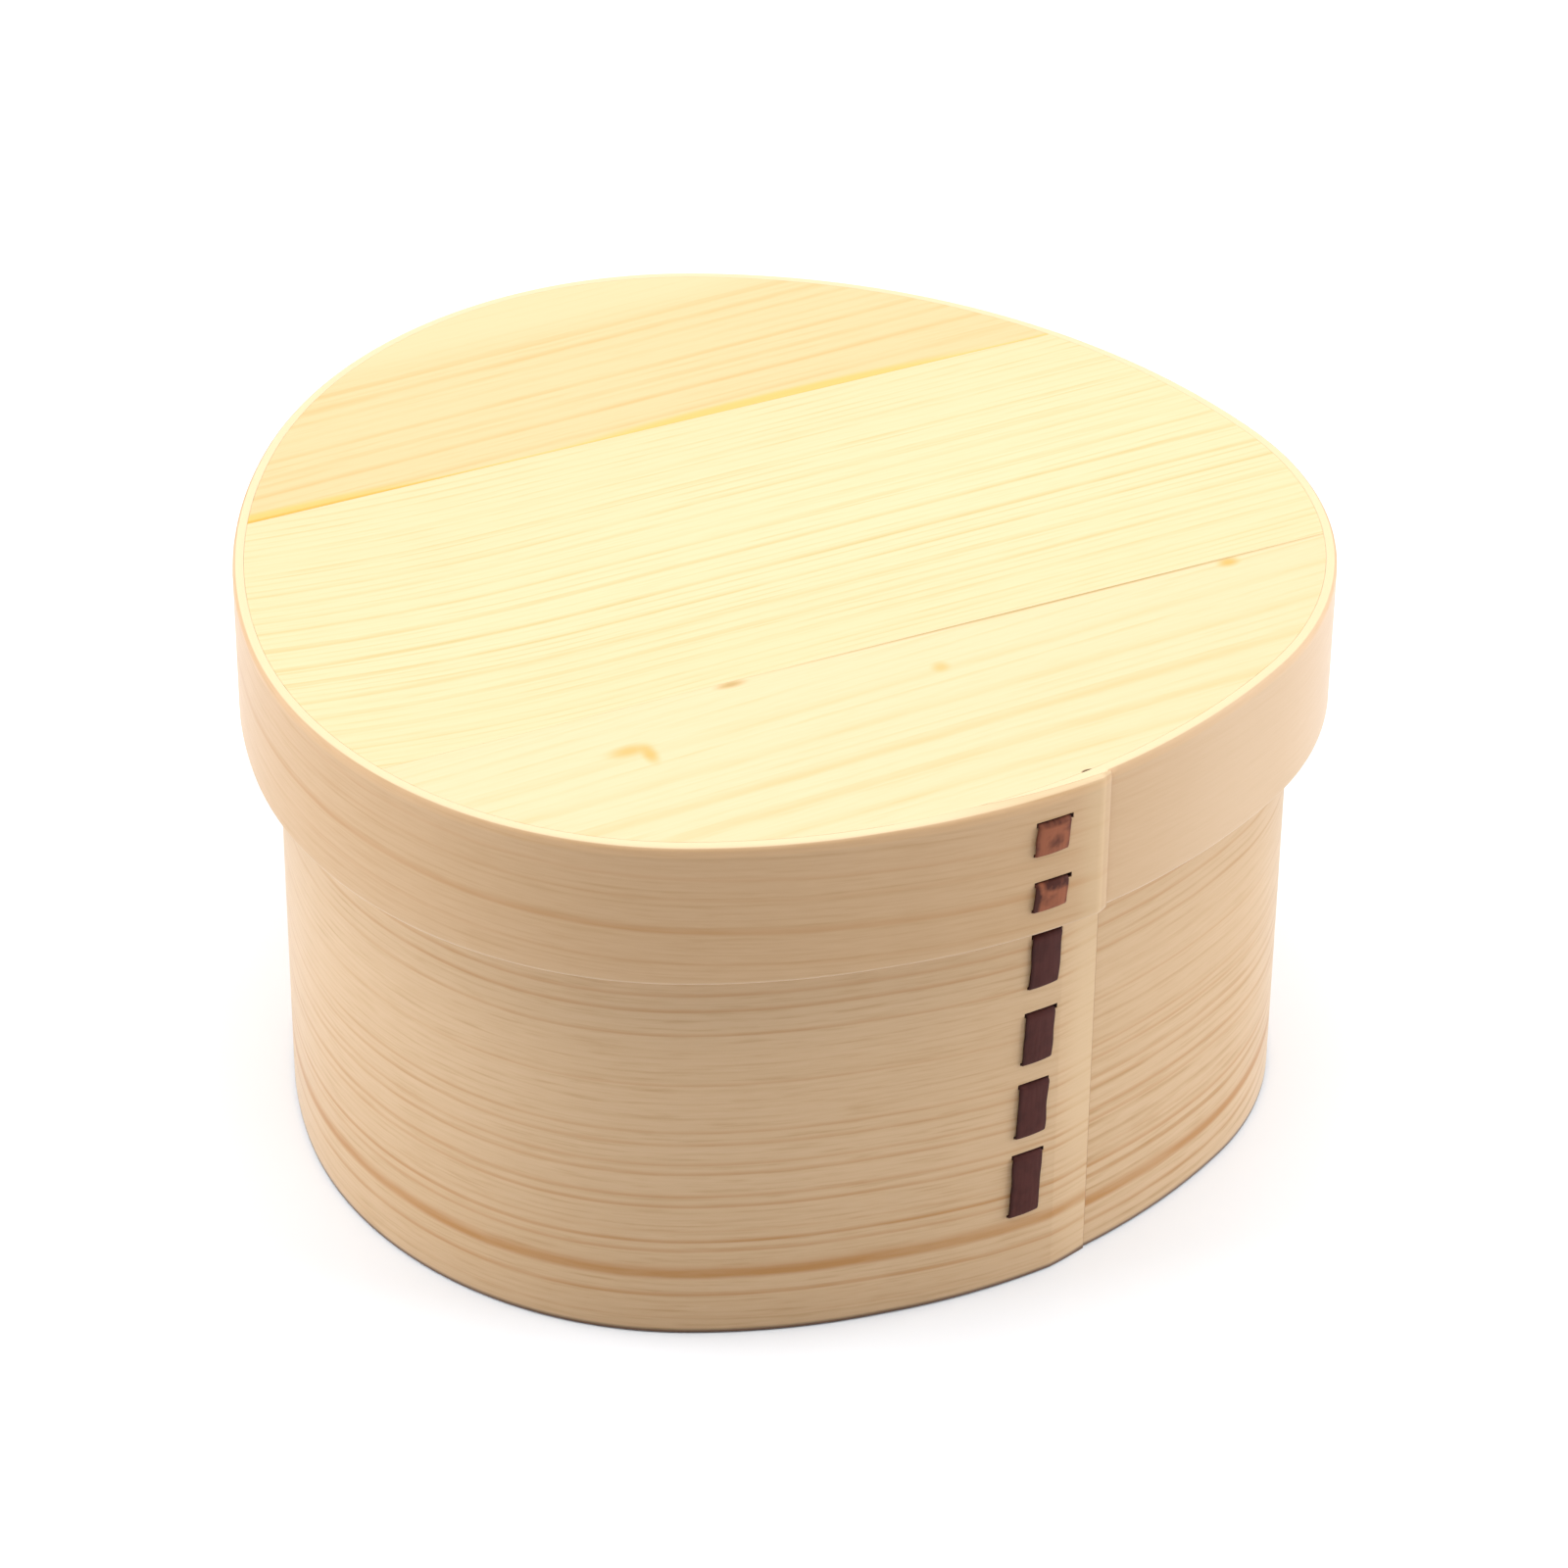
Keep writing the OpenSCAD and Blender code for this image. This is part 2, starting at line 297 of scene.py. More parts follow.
def cut_slits(bm, stitches, inset, back, sway, bark_w):
    """The slits above and below each stitch, on both faces of the lap. The chisel overcuts the upper ones
    to the right"""
    r = flank_r - inset
    for foot, top, overcut in stitches:
        for low, high, over in ((foot, foot + slit_foot_h, 0), (top - slit_top_h, top, overcut)):
            width = bark_w + 2 * slit_play + over
            turn = stitch_turn(inset, back, sway, (low + high) / 2) + over / 2 / r
            for on_outside in (True, False):
                cut_slit(bm, on_outside, (turn, r), width, low, high, slit_deep)


cut_slits(box_bm, box_stitches, box_inset, box_stitch_back, box_sway, box_bark_w)


def add_piece(name, bm, material, smooth):
    """Makes a bmesh into a piece with its place in its mesh"""
    mesh = bpy.data.meshes.new(name)
    bm.to_mesh(mesh)
    bm.free()
    mesh.materials.append(material)
    if smooth:
        mesh.shade_smooth()
        mesh.set_sharp_from_angle(angle=sharp_angle)
    piece = bpy.data.objects.new(name, mesh)
    bpy.context.scene.collection.objects.link(piece)
    return piece


def linear(*srgb):
    """A colour, given as it looks on a screen from 0 to 255, as Blender's linear values"""
    shares = [c / 255 for c in srgb]
    return (*[s / 12.92 if s <= 0.04045 else ((s + 0.055) / 1.055) ** 2.4 for s in shares], 1)


def add_node(tree, kind, inputs=None, **settings):
    """A shader node with its settings made, and its inputs set or linked"""
    node = tree.nodes.new(kind)
    for name, value in settings.items():
        setattr(node, name, value)
    for name, value in (inputs or {}).items():
        if isinstance(value, bpy.types.NodeSocket):
            tree.links.new(value, node.inputs[name])
        else:
            node.inputs[name].default_value = value
    return node


def calc(tree, operation, *values):
    """A sum on sockets and numbers"""
    return add_node(tree, "ShaderNodeMath", dict(enumerate(values)), operation=operation).outputs[0]


def ease(tree, value, start, stop, first=0, last=1):
    """Goes smoothly from first to last while a value goes from start to stop"""
    ends = {"Value": value, "From Min": start, "From Max": stop, "To Min": first, "To Max": last}
    return add_node(tree, "ShaderNodeMapRange", ends, interpolation_type="SMOOTHSTEP").outputs["Result"]


def cloudy(tree, place, fineness, detail):
    """Soft noise, with its own fineness along each axis"""
    scaled = add_node(tree, "ShaderNodeVectorMath", {0: place, 1: fineness}, operation="MULTIPLY").outputs[0]
    inputs = {"Vector": scaled, "Scale": 1, "Detail": detail}
    return add_node(tree, "ShaderNodeTexNoise", inputs).outputs["Fac"]


def blend(tree, amount, first, second):
    """A colour between two, by an amount from 0 to 1"""
    mix = add_node(tree, "ShaderNodeMix", data_type="RGBA")
    for socket, value in zip([s for s in mix.inputs if s.enabled], (amount, first, second)):
        if isinstance(value, bpy.types.NodeSocket):
            tree.links.new(value, socket)
        else:
            socket.default_value = value
    return [s for s in mix.outputs if s.enabled][0]


def new_group(name, inputs, outputs):
    """An empty node group, with the sockets inside it that its inputs come from and its outputs go to"""
    tree = bpy.data.node_groups.new(name, "ShaderNodeTree")
    for in_out, sockets in (("INPUT", inputs), ("OUTPUT", outputs)):
        for socket, kind in sockets.items():
            tree.interface.new_socket(name=socket, in_out=in_out, socket_type="NodeSocket" + kind)
    return tree, tree.nodes.new("NodeGroupInput").outputs, tree.nodes.new("NodeGroupOutput").inputs


# Growth rings of a softwood board: each darkens slowly to its late wood and stops short, and breaks up into
# flecks along its length. Along the grain is X
softwood, grain_in, grain_out = new_group(
    "softwood",
    {"Grain": "Vector", "Ring Width": "Float", "Wander": "Float", "Ring Strength": "Float",
     "Fleck Strength": "Float", "Early": "Color", "Late": "Color"},
    {"Color": "Color", "Roughness": "Float", "Height": "Float", "Broken": "Float"},
)
wander_fineness = (9, 30, 30)
fibre_fineness = (200, 2600, 2600)
fleck_fineness = (110, 1500, 1500)
broken_fineness = (75, 520, 520)
streak_fineness = (14, 420, 420)
tone_fineness = (5, 22, 22)
bunch_fineness = 0.23
ring_bunching = 1.3
late_start = 0.5
late_full = 0.88
faintest_ring = 0.25
fleck_share = (0.5, 0.74)
broken_share = (0.36, 0.64)
broken_least = 0.3
broken_most = 1.3
fibre_dark = 0.2
streak_dark = 0.12
tone_dark = 0.3
mean_dark = 0.21
least_rough = 0.46
fibre_rough = 0.2
late_raised = 0.6
across = add_node(softwood, "ShaderNodeSeparateXYZ", {0: grain_in["Grain"]}).outputs["Y"]
wander = calc(softwood, "SUBTRACT", cloudy(softwood, grain_in["Grain"], wander_fineness, 1), 0.5)
wandered = calc(softwood, "MULTIPLY_ADD", wander, grain_in["Wander"], across)
rings = calc(softwood, "DIVIDE", wandered, grain_in["Ring Width"])
bunch_inputs = {"W": rings, "Scale": bunch_fineness, "Detail": 1}
bunching = add_node(softwood, "ShaderNodeTexNoise", bunch_inputs, noise_dimensions="1D").outputs["Fac"]
bunched = calc(softwood, "MULTIPLY_ADD", bunching, ring_bunching, rings)
ring = calc(softwood, "FRACT", bunched)
ring_name = calc(softwood, "FLOOR", bunched)
ring_luck = add_node(
    softwood, "ShaderNodeTexWhiteNoise", {"W": ring_name}, noise_dimensions="1D"
).outputs["Value"]
ring_share = calc(softwood, "MULTIPLY_ADD", ring_luck, 1 - faintest_ring, faintest_ring)
late_rise = ease(softwood, ring, late_start, late_full)
late_wood = calc(softwood, "MULTIPLY", late_rise, ease(softwood, ring, late_full, 1, 1, 0))
late_wood = calc(softwood, "MULTIPLY", late_wood, ring_share)
late_wood = calc(softwood, "MULTIPLY", late_wood, grain_in["Ring Strength"])
broken = cloudy(softwood, grain_in["Grain"], broken_fineness, 3)
broken = ease(softwood, broken, *broken_share, broken_least, broken_most)
late_wood = calc(softwood, "MULTIPLY", late_wood, broken)
fleck = ease(softwood, cloudy(softwood, grain_in["Grain"], fleck_fineness, 3), *fleck_share)
fibre = cloudy(softwood, grain_in["Grain"], fibre_fineness, 3)
streak = cloudy(softwood, grain_in["Grain"], streak_fineness, 2)
tone = cloudy(softwood, grain_in["Grain"], tone_fineness, 2)
figure = calc(softwood, "MULTIPLY_ADD", fleck, grain_in["Fleck Strength"], late_wood)
figure = calc(softwood, "MULTIPLY_ADD", fibre, fibre_dark, figure)
figure = calc(softwood, "MULTIPLY_ADD", streak, streak_dark, figure)
figure = calc(softwood, "MULTIPLY_ADD", tone, tone_dark, figure)
figure = calc(softwood, "SUBTRACT", figure, mean_dark)
figure = add_node(softwood, "ShaderNodeClamp", {"Value": figure}).outputs[0]
softwood.links.new(blend(softwood, figure, grain_in["Early"], grain_in["Late"]), grain_out["Color"])
softwood.links.new(calc(softwood, "MULTIPLY_ADD", fibre, fibre_rough, least_rough), grain_out["Roughness"])
softwood.links.new(calc(softwood, "MULTIPLY_ADD", late_wood, late_raised, fibre), grain_out["Height"])
softwood.links.new(broken, grain_out["Broken"])


sheen_rough = 0.35
bump_deep = 0.0001


def finish_wood(material, color, roughness, height, bump, gloss, sheen):
    """Joins a wood's colour, roughness and raised grain to its shader. Planed fibres have a sheen"""
    tree = material.node_tree
    shader = tree.nodes["Principled BSDF"]
    shader.inputs["Specular IOR Level"].default_value = gloss
    shader.inputs["Sheen Weight"].default_value = sheen
    shader.inputs["Sheen Roughness"].default_value = sheen_rough
    raised = add_node(
        tree, "ShaderNodeBump", {"Height": height, "Strength": bump, "Distance": bump_deep}
    ).outputs["Normal"]
    tree.links.new(color, shader.inputs["Base Color"])
    tree.links.new(roughness, shader.inputs["Roughness"])
    tree.links.new(raised, shader.inputs["Normal"])


def new_material(name):
    material = bpy.data.materials.new(name)
    material.use_nodes = True
    return material


box_early = linear(205, 172, 135)
band_late = linear(174, 135, 86)
line_red = linear(177, 127, 74)
# end_pale also colours the lid band's painted sheen and painted highlight
end_pale = linear(209, 180, 148)
bevel_plain = linear(205, 174, 134)
end_grain = linear(150, 107, 72)
foot_painted_shadow = linear(97, 68, 49)
slit_stain_and_shade = linear(104, 68, 51)


# A growth line's soft side, darkest place and sharp side, as shares of its width, and what is left of it
# where it fades
line_soft = 0.8
line_core = 0.1
line_sharp = 0.5
line_least = 0.65


def grain_line(tree, color, height, broken, line, dark):
    """Draws one growth line over a wood's colour, soft on its upper side and sharper below. A line is its
    height, width and strength, and how broken the wood is makes it fade in places"""
    at, width, strength = line
    rise = ease(tree, height, at + width * line_soft, at - width * line_core, 0, strength)
    fall = ease(tree, height, at - width * line_sharp, at - width * line_core)
    lasting = calc(tree, "MULTIPLY_ADD", broken, 1 - line_least, line_least)
    amount = calc(tree, "MULTIPLY", calc(tree, "MULTIPLY", rise, fall), lasting)
    return blend(tree, calc(tree, "MINIMUM", amount, 1), color, dark)


# Where along a strip, from the lap on, the flank's wood gives way to the front's. The flank's rings are
# fainter higher up, painted sheen pales it less next to the lap, and its grain sags near the foot
flank_end = (0.06, 0.14)
flank_height = (0.016, 0.042)
flank_rings = (1.2, 0.6)
lap_shade_end = 0.055
lap_pale = 0.3
sag_along = (0.052, 0.08)
sag_up = (0.009, 0.024)
front_sag_l = 0.04
front_sag_share = 0.4
# How far from the outer end the bevel's plain wood starts and is full, and how far up its lines still show
pared_from = (0.006, 0.002)
pared_up = (0.012, 0.032)
pared_plain = (0.25, 0.6)
pared_rings = 0.6
edge_change = (0.03, 0.008)
end_face = 0.0001
grain_wander = 0.003
line_fineness = (16, 0, 0)
line_waver = 0.0008
cut_edge = 0.2
band_bump = 0.2
band_gloss = 0.18
band_sheen = 0.37


def band_wood(
    name, strip_l, early, ring_ws, strengths, flecks, pale, slope, sag, lines, edges, end_l, bevel_shade_share
):
    """Wood of a bent band, whose grain follows the strip, on a slope, and sags low down beyond the lap.
    Ring widths, ring strengths, fleck strengths and how far painted sheen pales the wood are pairs, for
    beyond the lap and for the rest. Lines are growth lines: height, width, strength. Edges are height,
    reach, strength, the strength at the outer end, and colour. Painted shade darkens the outer end's bevel,
    end_l long, toward the end grain's colour, by the bevel's shade share"""
    material = new_material(name)
    tree = material.node_tree
    strip = add_node(tree, "ShaderNodeAttribute", attribute_name="strip").outputs["Vector"]
    cut = add_node(tree, "ShaderNodeAttribute", attribute_name="cut").outputs["Fac"]
    place = add_node(tree, "ShaderNodeSeparateXYZ", {0: strip}).outputs
    along = place["X"]
    up = place["Z"]
    risen = calc(tree, "MULTIPLY_ADD", calc(tree, "SUBTRACT", along, strip_l), slope, up)
    sagged = calc(tree, "MULTIPLY", ease(tree, along, *sag_along, sag, 0), ease(tree, up, *sag_up, 1, 0))
    dropped = ease(tree, along, strip_l - front_sag_l, strip_l, 0, sag * front_sag_share)
    height = calc(tree, "ADD", risen, calc(tree, "ADD", sagged, dropped))
    grain = add_node(tree, "ShaderNodeCombineXYZ", {"X": along, "Y": height, "Z": place["Y"]}).outputs[0]
    pared = ease(tree, along, strip_l - pared_from[0], strip_l - pared_from[1])
    color = early
    fainter_up = ease(tree, up, *flank_height, *flank_rings)
    regions = (((1, 0), fainter_up), ((0, 1), 1))
    for ring_w, strength, fleck_strength, (shares, by_height) in zip(ring_ws, strengths, flecks, regions):
        share = calc(tree, "MULTIPLY", ease(tree, along, *flank_end, *shares), by_height)
        left = calc(tree, "MULTIPLY_ADD", pared, -pared_rings * strength, strength)
        grain_inputs = {
            "Grain": grain,
            "Ring Width": ring_w,
            "Wander": grain_wander,
            "Ring Strength": calc(tree, "MULTIPLY", share, left),
            "Fleck Strength": calc(tree, "MULTIPLY", share, fleck_strength),
            "Early": color,
            "Late": band_late,
        }
        wood = add_node(tree, "ShaderNodeGroup", grain_inputs, node_tree=softwood)
        color = wood.outputs["Color"]
    waver = calc(tree, "SUBTRACT", cloudy(tree, grain, line_fineness, 2), 0.5)
    waved = calc(tree, "MULTIPLY_ADD", waver, line_waver, height)
    for line in lines:
        color = grain_line(tree, color, waved, wood.outputs["Broken"], line, line_red)
    plain = calc(tree, "MULTIPLY", pared, ease(tree, up, *pared_up, *pared_plain))
    color = blend(tree, plain, color, bevel_plain)
    # Painted sheen pales the lid's flank beyond the lap toward end_pale, less so right next to the lap
    past_lap = ease(tree, along, lap_l, lap_shade_end, lap_pale, 1)
    painted_sheen = calc(tree, "MULTIPLY", past_lap, ease(tree, along, *flank_end, *pale))
    color = blend(tree, painted_sheen, color, end_pale)
    for edge_height, reach, edge_strength, end_strength, edge_color in edges:
        off = calc(tree, "ABSOLUTE", calc(tree, "SUBTRACT", up, edge_height))
        change = [strip_l - back for back in edge_change]
        near = ease(tree, along, *change, edge_strength, end_strength)
        amount = calc(tree, "MULTIPLY", ease(tree, off, reach, reach / 3), near)
        color = blend(tree, amount, color, edge_color)
    # Painted shade darkens the bevel at the outer end, which faces the side light, toward the end grain's
    # colour
    bevel_shade = ease(tree, along, strip_l - end_l, strip_l - end_l / 2, 0, bevel_shade_share)
    color = blend(tree, bevel_shade, color, end_grain)
    color = blend(tree, ease(tree, along, strip_l - end_face, strip_l), color, end_grain)
    # The slits darken toward their pocket floors: partly the darker end grain of a cut, partly painted shade
    color = blend(tree, ease(tree, cut, 0, cut_edge), color, slit_stain_and_shade)
    finish_wood(
        material, color, wood.outputs["Roughness"], wood.outputs["Height"], band_bump, band_gloss, band_sheen
    )
    return material


box_lines = [
    (0.0029, 0.0006, 0.15),
    (0.0069, 0.0009, 0.6),
    (0.0106, 0.0026, 1),
    (0.0146, 0.0008, 0.5),
    (0.0162, 0.0008, 0.75),
    (0.0180, 0.0006, 0.2),
    (0.0223, 0.0008, 0.5),
    (0.0240, 0.0008, 0.55),
    (0.0279, 0.0008, 0.45),
    (0.0295, 0.0007, 0.4),
    (0.0329, 0.0008, 0.4),
    (0.0350, 0.0007, 0.35),
    (0.0430, 0.0006, 0.3),
    (0.0514, 0.0007, 0.4),
    (0.0554, 0.0008, 0.5),
    (0.0580, 0.0008, 0.45),
]
# The box's foot gets a painted shadow where it stands on the floor; its top edge is paler
box_edges = [(0, 0.0011, 0.95, 0.95, foot_painted_shadow), (box_top, 0.0006, 0.5, 0.5, end_pale)]
box_wood = band_wood(
    "box_band_wood", box_strip_l, box_early,
    ring_ws=(0.0021, 0.00125), strengths=(0.55, 0.24), flecks=(0.32, 0.32), pale=(0, 0), slope=0, sag=0.0026,
    lines=box_lines, edges=box_edges, end_l=box_bevel, bevel_shade_share=0,
)
box_hoop = add_piece("box_hoop", box_bm, box_wood, True)
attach(box_hoop, "box")
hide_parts("box_band")

# The base board is three planks of the same softwood, glued edge to edge and let into the rabbet of the box.
# It lies behind the box band's foot, and its grain runs askew of the long axis as the lid's does.
grain_turn = math.radians(22.6)
middle_plank_w = 0.056
middle_plank_off = 0.0032
board_gap = 0.00002
plank_ease = 0.00004
seam_weld = 1e-6
rim_w = band_t - rabbet_w
plank_edges = {
    "back": (middle_plank_off + middle_plank_w / 2, None),
    "middle": (middle_plank_off - middle_plank_w / 2, middle_plank_off + middle_plank_w / 2),
    "front": (None, middle_plank_off - middle_plank_w / 2),
}


def saw_plank(order, inset, low, high):
    """One plank of a board that fills the outline, sawn along the grain and eased along its arrises"""
    bm = bmesh.new()
    start = bm.verts.new(lap_c + (flank_r - inset) * heading(-widest_turn) + upright(low))
    ring = [start]
    for centre, radius, turn, stop in [(lap_c, flank_r, -widest_turn, -tip_turn)] + bends:
        ring = spin_round(bm, ring, centre, turn, stop, (stop - turn) * (radius - inset) / coarse_step)
    bmesh.ops.remove_doubles(bm, verts=bm.verts[:], dist=seam_weld)
    bmesh.ops.edgeloop_fill(bm, edges=bm.edges[:])
    across_grain = heading(grain_turn + math.pi / 2)
    for edge, side in zip(plank_edges[order], (-1, 1)):
        if edge is not None:
            bmesh.ops.bisect_plane(
                bm, geom=bm.verts[:] + bm.edges[:] + bm.faces[:], dist=weld,
                plane_co=edge * across_grain, plane_no=side * across_grain, clear_outer=True,
            )
    top = bmesh.ops.extrude_face_region(bm, geom=bm.faces[:], use_keep_orig=True)["geom"]
    risen = [v for v in top if isinstance(v, bmesh.types.BMVert)]
    bmesh.ops.translate(bm, verts=risen, vec=upright(high - low))
    bmesh.ops.recalc_face_normals(bm, faces=bm.faces[:])
    arrises = [e for e in bm.edges if abs(e.verts[0].co.z - e.verts[1].co.z) < sliver]
    bmesh.ops.bevel(
        bm, geom=arrises, offset=plank_ease, offset_type="OFFSET", segments=2, profile=0.5,
        affect="EDGES", material=-1,
    )
    return bm


def spot(tree, place, centre, reach, strength, soft):
    """A round mark about a centre, with its own reach along each axis, that fades over a soft share of it"""
    fineness = [1 / r if r else 0 for r in reach]
    off = add_node(tree, "ShaderNodeVectorMath", {0: place, 1: centre}, operation="SUBTRACT").outputs[0]
    scaled = add_node(tree, "ShaderNodeVectorMath", {0: off, 1: fineness}, operation="MULTIPLY").outputs[0]
    far = add_node(tree, "ShaderNodeVectorMath", {0: scaled}, operation="LENGTH").outputs["Value"]
    return ease(tree, far, 1, 1 - soft, 0, strength)


bend_start = 0.03
plank_flecks = 0.1
plank_line_fineness = (20, 60, 0)
plank_line_waver = 0.0006
plank_bump = 0.15
plank_gloss = 0.04


def plank_wood(name, shift, ring_w, strength, slope, bend, lines, line_w, early, late, marks):
    """Wood of one plank, from its own place in the tree. Its grain has a slope of its own and bends at the
    left. Lines are growth lines: how far across, and strength. Marks are knots and resin: how far along and
    across, reach along and across, strength, softness and colour"""
    material = new_material(name)
    tree = material.node_tree
    place = add_node(tree, "ShaderNodeTexCoord").outputs["Object"]
    turn_back = {"Vector": place, "Rotation": (0, 0, -grain_turn)}
    turned = add_node(tree, "ShaderNodeMapping", turn_back).outputs[0]
    parts = add_node(tree, "ShaderNodeSeparateXYZ", {0: turned}).outputs
    beyond = calc(tree, "MINIMUM", calc(tree, "ADD", parts["X"], bend_start), 0)
    across = calc(tree, "MULTIPLY_ADD", parts["X"], -slope, parts["Y"])
    across = calc(tree, "MULTIPLY_ADD", calc(tree, "MULTIPLY", beyond, beyond), -bend, across)
    grain_axes = {"X": parts["X"], "Y": across, "Z": parts["Z"]}
    grain = add_node(tree, "ShaderNodeCombineXYZ", grain_axes).outputs[0]
    moved = add_node(tree, "ShaderNodeVectorMath", {0: grain, 1: shift}, operation="ADD").outputs[0]
    grain_inputs = {
        "Grain": moved,
        "Ring Width": ring_w,
        "Wander": grain_wander,
        "Ring Strength": strength,
        "Fleck Strength": plank_flecks,
        "Early": early,
        "Late": late,
    }
    wood = add_node(tree, "ShaderNodeGroup", grain_inputs, node_tree=softwood)
    color = wood.outputs["Color"]
    waver = calc(tree, "SUBTRACT", cloudy(tree, moved, plank_line_fineness, 2), 0.5)
    waved = calc(tree, "MULTIPLY_ADD", waver, plank_line_waver, across)
    for line_across, line_strength in lines:
        line = (line_across, line_w, line_strength)
        color = grain_line(tree, color, waved, wood.outputs["Broken"], line, late)
    for along, off, reach_along, reach_off, mark_strength, soft, mark_color in marks:
        mark = spot(tree, turned, (along, off, 0), (reach_along, reach_off, 0), mark_strength, soft)
        color = blend(tree, mark, color, mark_color)
    finish_wood(
        material, color, wood.outputs["Roughness"], wood.outputs["Height"], plank_bump, plank_gloss, 0
    )
    return material


resin = linear(229, 183, 105)
back_pale = linear(226, 199, 156)
knot_amber = linear(210, 164, 77)
knot_brown = linear(181, 143, 81)
seam_brown = linear(176, 144, 90)
knot_dark = linear(91, 66, 45)
seam_back = plank_edges["back"][0]
seam_front = plank_edges["front"][1]
back_lines = [
    (0.0337, 0.28), (0.0381, 0.42), (0.0415, 0.28), (0.0449, 0.38), (0.0483, 0.12), (0.0512, 0.2),
    (0.0537, 0.42), (0.0562, 0.38),
]
middle_lines = [
    (-0.0215, 0.12), (-0.0181, 0.2), (-0.0145, 0.36), (-0.0108, 0.4), (-0.0069, 0.32), (-0.0033, 0.52),
    (0.0010, 0.48), (0.0050, 0.32), (0.0075, 0.16), (0.0105, 0.24), (0.0132, 0.24), (0.0174, 0.2),
    (0.0222, 0.16),
]
front_lines = [(-0.0552, 0.28), (-0.0506, 0.4), (-0.0453, 0.42), (-0.0394, 0.26), (-0.0332, 0.18)]
back_marks = [
    (0, 0.076, 0.3, 0.02, 0.6, 0.3, back_pale),
    (-0.066, seam_back, 0.034, 0.0024, 0.9, 0.5, resin),
    (0.012, seam_back, 0.036, 0.0021, 0.9, 0.5, resin),
    (0, seam_back, 0.2, 0.0005, 0.7, 0.6, resin),
    (-0.066, seam_back, 0.045, 0.0007, 0.85, 0.6, knot_amber),
]
front_marks = [
    (-0.0356, -0.0333, 0.0042, 0.0017, 0.65, 0.9, knot_amber),
    (-0.0334, -0.0350, 0.0015, 0.0028, 0.7, 0.9, knot_amber),
    (-0.0184, -0.0254, 0.0030, 0.0010, 0.7, 0.9, knot_brown),
    (0.0079, -0.0322, 0.0018, 0.0016, 0.5, 0.9, knot_amber),
    (0.0520, -0.0258, 0.0022, 0.0014, 0.75, 0.9, knot_amber),
    (0.0300, seam_front, 0.0600, 0.0006, 0.8, 0.8, seam_brown),
    (0.0161, -0.0591, 0.0010, 0.0004, 0.9, 0.5, knot_dark),
]
plank_woods = {
    "back": plank_wood(
        "back_plank_wood", shift=(0.3, 0.02, 0), ring_w=0.0017, strength=0.25, slope=0.031, bend=0,
        lines=back_lines, line_w=0.0011, early=linear(225, 192, 146), late=linear(199, 165, 102),
        marks=back_marks,
    ),
    "middle": plank_wood(
        "middle_plank_wood", shift=(0.8, 0.3, 0), ring_w=0.0012, strength=0.35, slope=0.0175, bend=2.3,
        lines=middle_lines, line_w=0.001, early=linear(225, 202, 160), late=linear(195, 175, 115),
        marks=[],
    ),
    "front": plank_wood(
        "front_plank_wood", shift=(1.7, 0.7, 0), ring_w=0.0018, strength=0.2, slope=0.045, bend=0,
        lines=front_lines, line_w=0.002, early=linear(225, 201, 161), late=linear(199, 175, 115),
        marks=front_marks,
    ),
}
for order in plank_edges:
    node_low, node_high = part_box("base_plank_" + order)
    plank_bm = saw_plank(order, box_inset + rim_w + board_gap, node_low.z, node_high.z)
    plank = add_piece("base_" + order, plank_bm, plank_woods[order], False)
    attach(plank, "box")
    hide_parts("base_plank_" + order)

# The box's sewing is one strip of dark cherry bark in running stitch, soaked and drawn through the slits.
# Each length lies flat on the wall between two slits, and the ends are tucked behind the inside stitches.
bark_t = 0.0004
bark_gap = 0.00003
bark_tail = 0.0036
bark_bend = 0.0004
bark_step = 0.0008
bark_rows = 8
bark_crown = 0.00012
bark_ragged = 0.00022
ragged_l = 0.0035
ragged_across = 3
soft_edge_angle = math.radians(50)


def round_corners(nodes, radius, step, turns=4):
    """A path through these nodes, with its corners rounded and its straight runs cut into steps"""
    path = [nodes[0]]
    for before, corner, after in zip(nodes, nodes[1:], nodes[2:]):
        start = corner + radius * (before - corner).normalized()
        stop = corner + radius * (after - corner).normalized()
        run = start - path[-1]
        steps = max(1, round(run.length / step))
        path += [path[-1] + run * (i + 1) / steps for i in range(steps)]
        for i in range(1, turns + 1):
            share = i / turns
            path.append(start.lerp(corner, share).lerp(corner.lerp(stop, share), share))
    return path + [nodes[-1]]


def draw_bark(stitches, inset, back, sway, bark_w, luck):
    """One strip of bark, led out and in through the slits of the lap, from the lowest stitch upwards"""
    r = flank_r - inset
    proud = lap_step * (1 - back / lap_l)
    outside = proud + bark_gap + bark_t / 2
    inside = -band_t - bark_gap - bark_t / 2
    in_foot = slit_foot_h / 2
    in_top = slit_top_h - bark_t / 2 - slit_play
    nodes = [(inside, stitches[0][0] + bark_tail)]
    for foot, top, _ in stitches:
        low = foot + in_foot
        high = top - in_top
        nodes += [(inside, low), (outside, low), (outside, high), (inside, high)]
    nodes.append((inside, stitches[-1][1] - bark_tail))
    path = round_corners([Vector(node) for node in nodes], bark_bend, bark_step)
    bm = bmesh.new()
    bark = bm.verts.layers.float_vector.new("bark")
    bmesh.ops.create_grid(bm, x_segments=bark_rows, y_segments=len(path) - 1, size=0.5)
    run = [0]
    for here, there in zip(path, path[1:]):
        run.append(run[-1] + (there - here).length)
    for v in bm.verts:
        row = round((v.co.y + 0.5) * (len(path) - 1))
        depth, up = path[row]
        side = v.co.x * 2
        ragged = bark_ragged * noise.noise((side * ragged_across, run[row] / ragged_l, luck)) * abs(side)
        sideways = side * bark_w / 2 + ragged
        crown = bark_crown * (1 - side * side) if depth > proud else 0
        turn = stitch_turn(inset, back, sway, up) + sideways / r
        v.co = lap_c + (r + depth + crown) * heading(turn) + upright(up)
        v[bark] = (side, run[row], up)
    bmesh.ops.recalc_face_normals(bm, faces=bm.faces[:])
    return bm


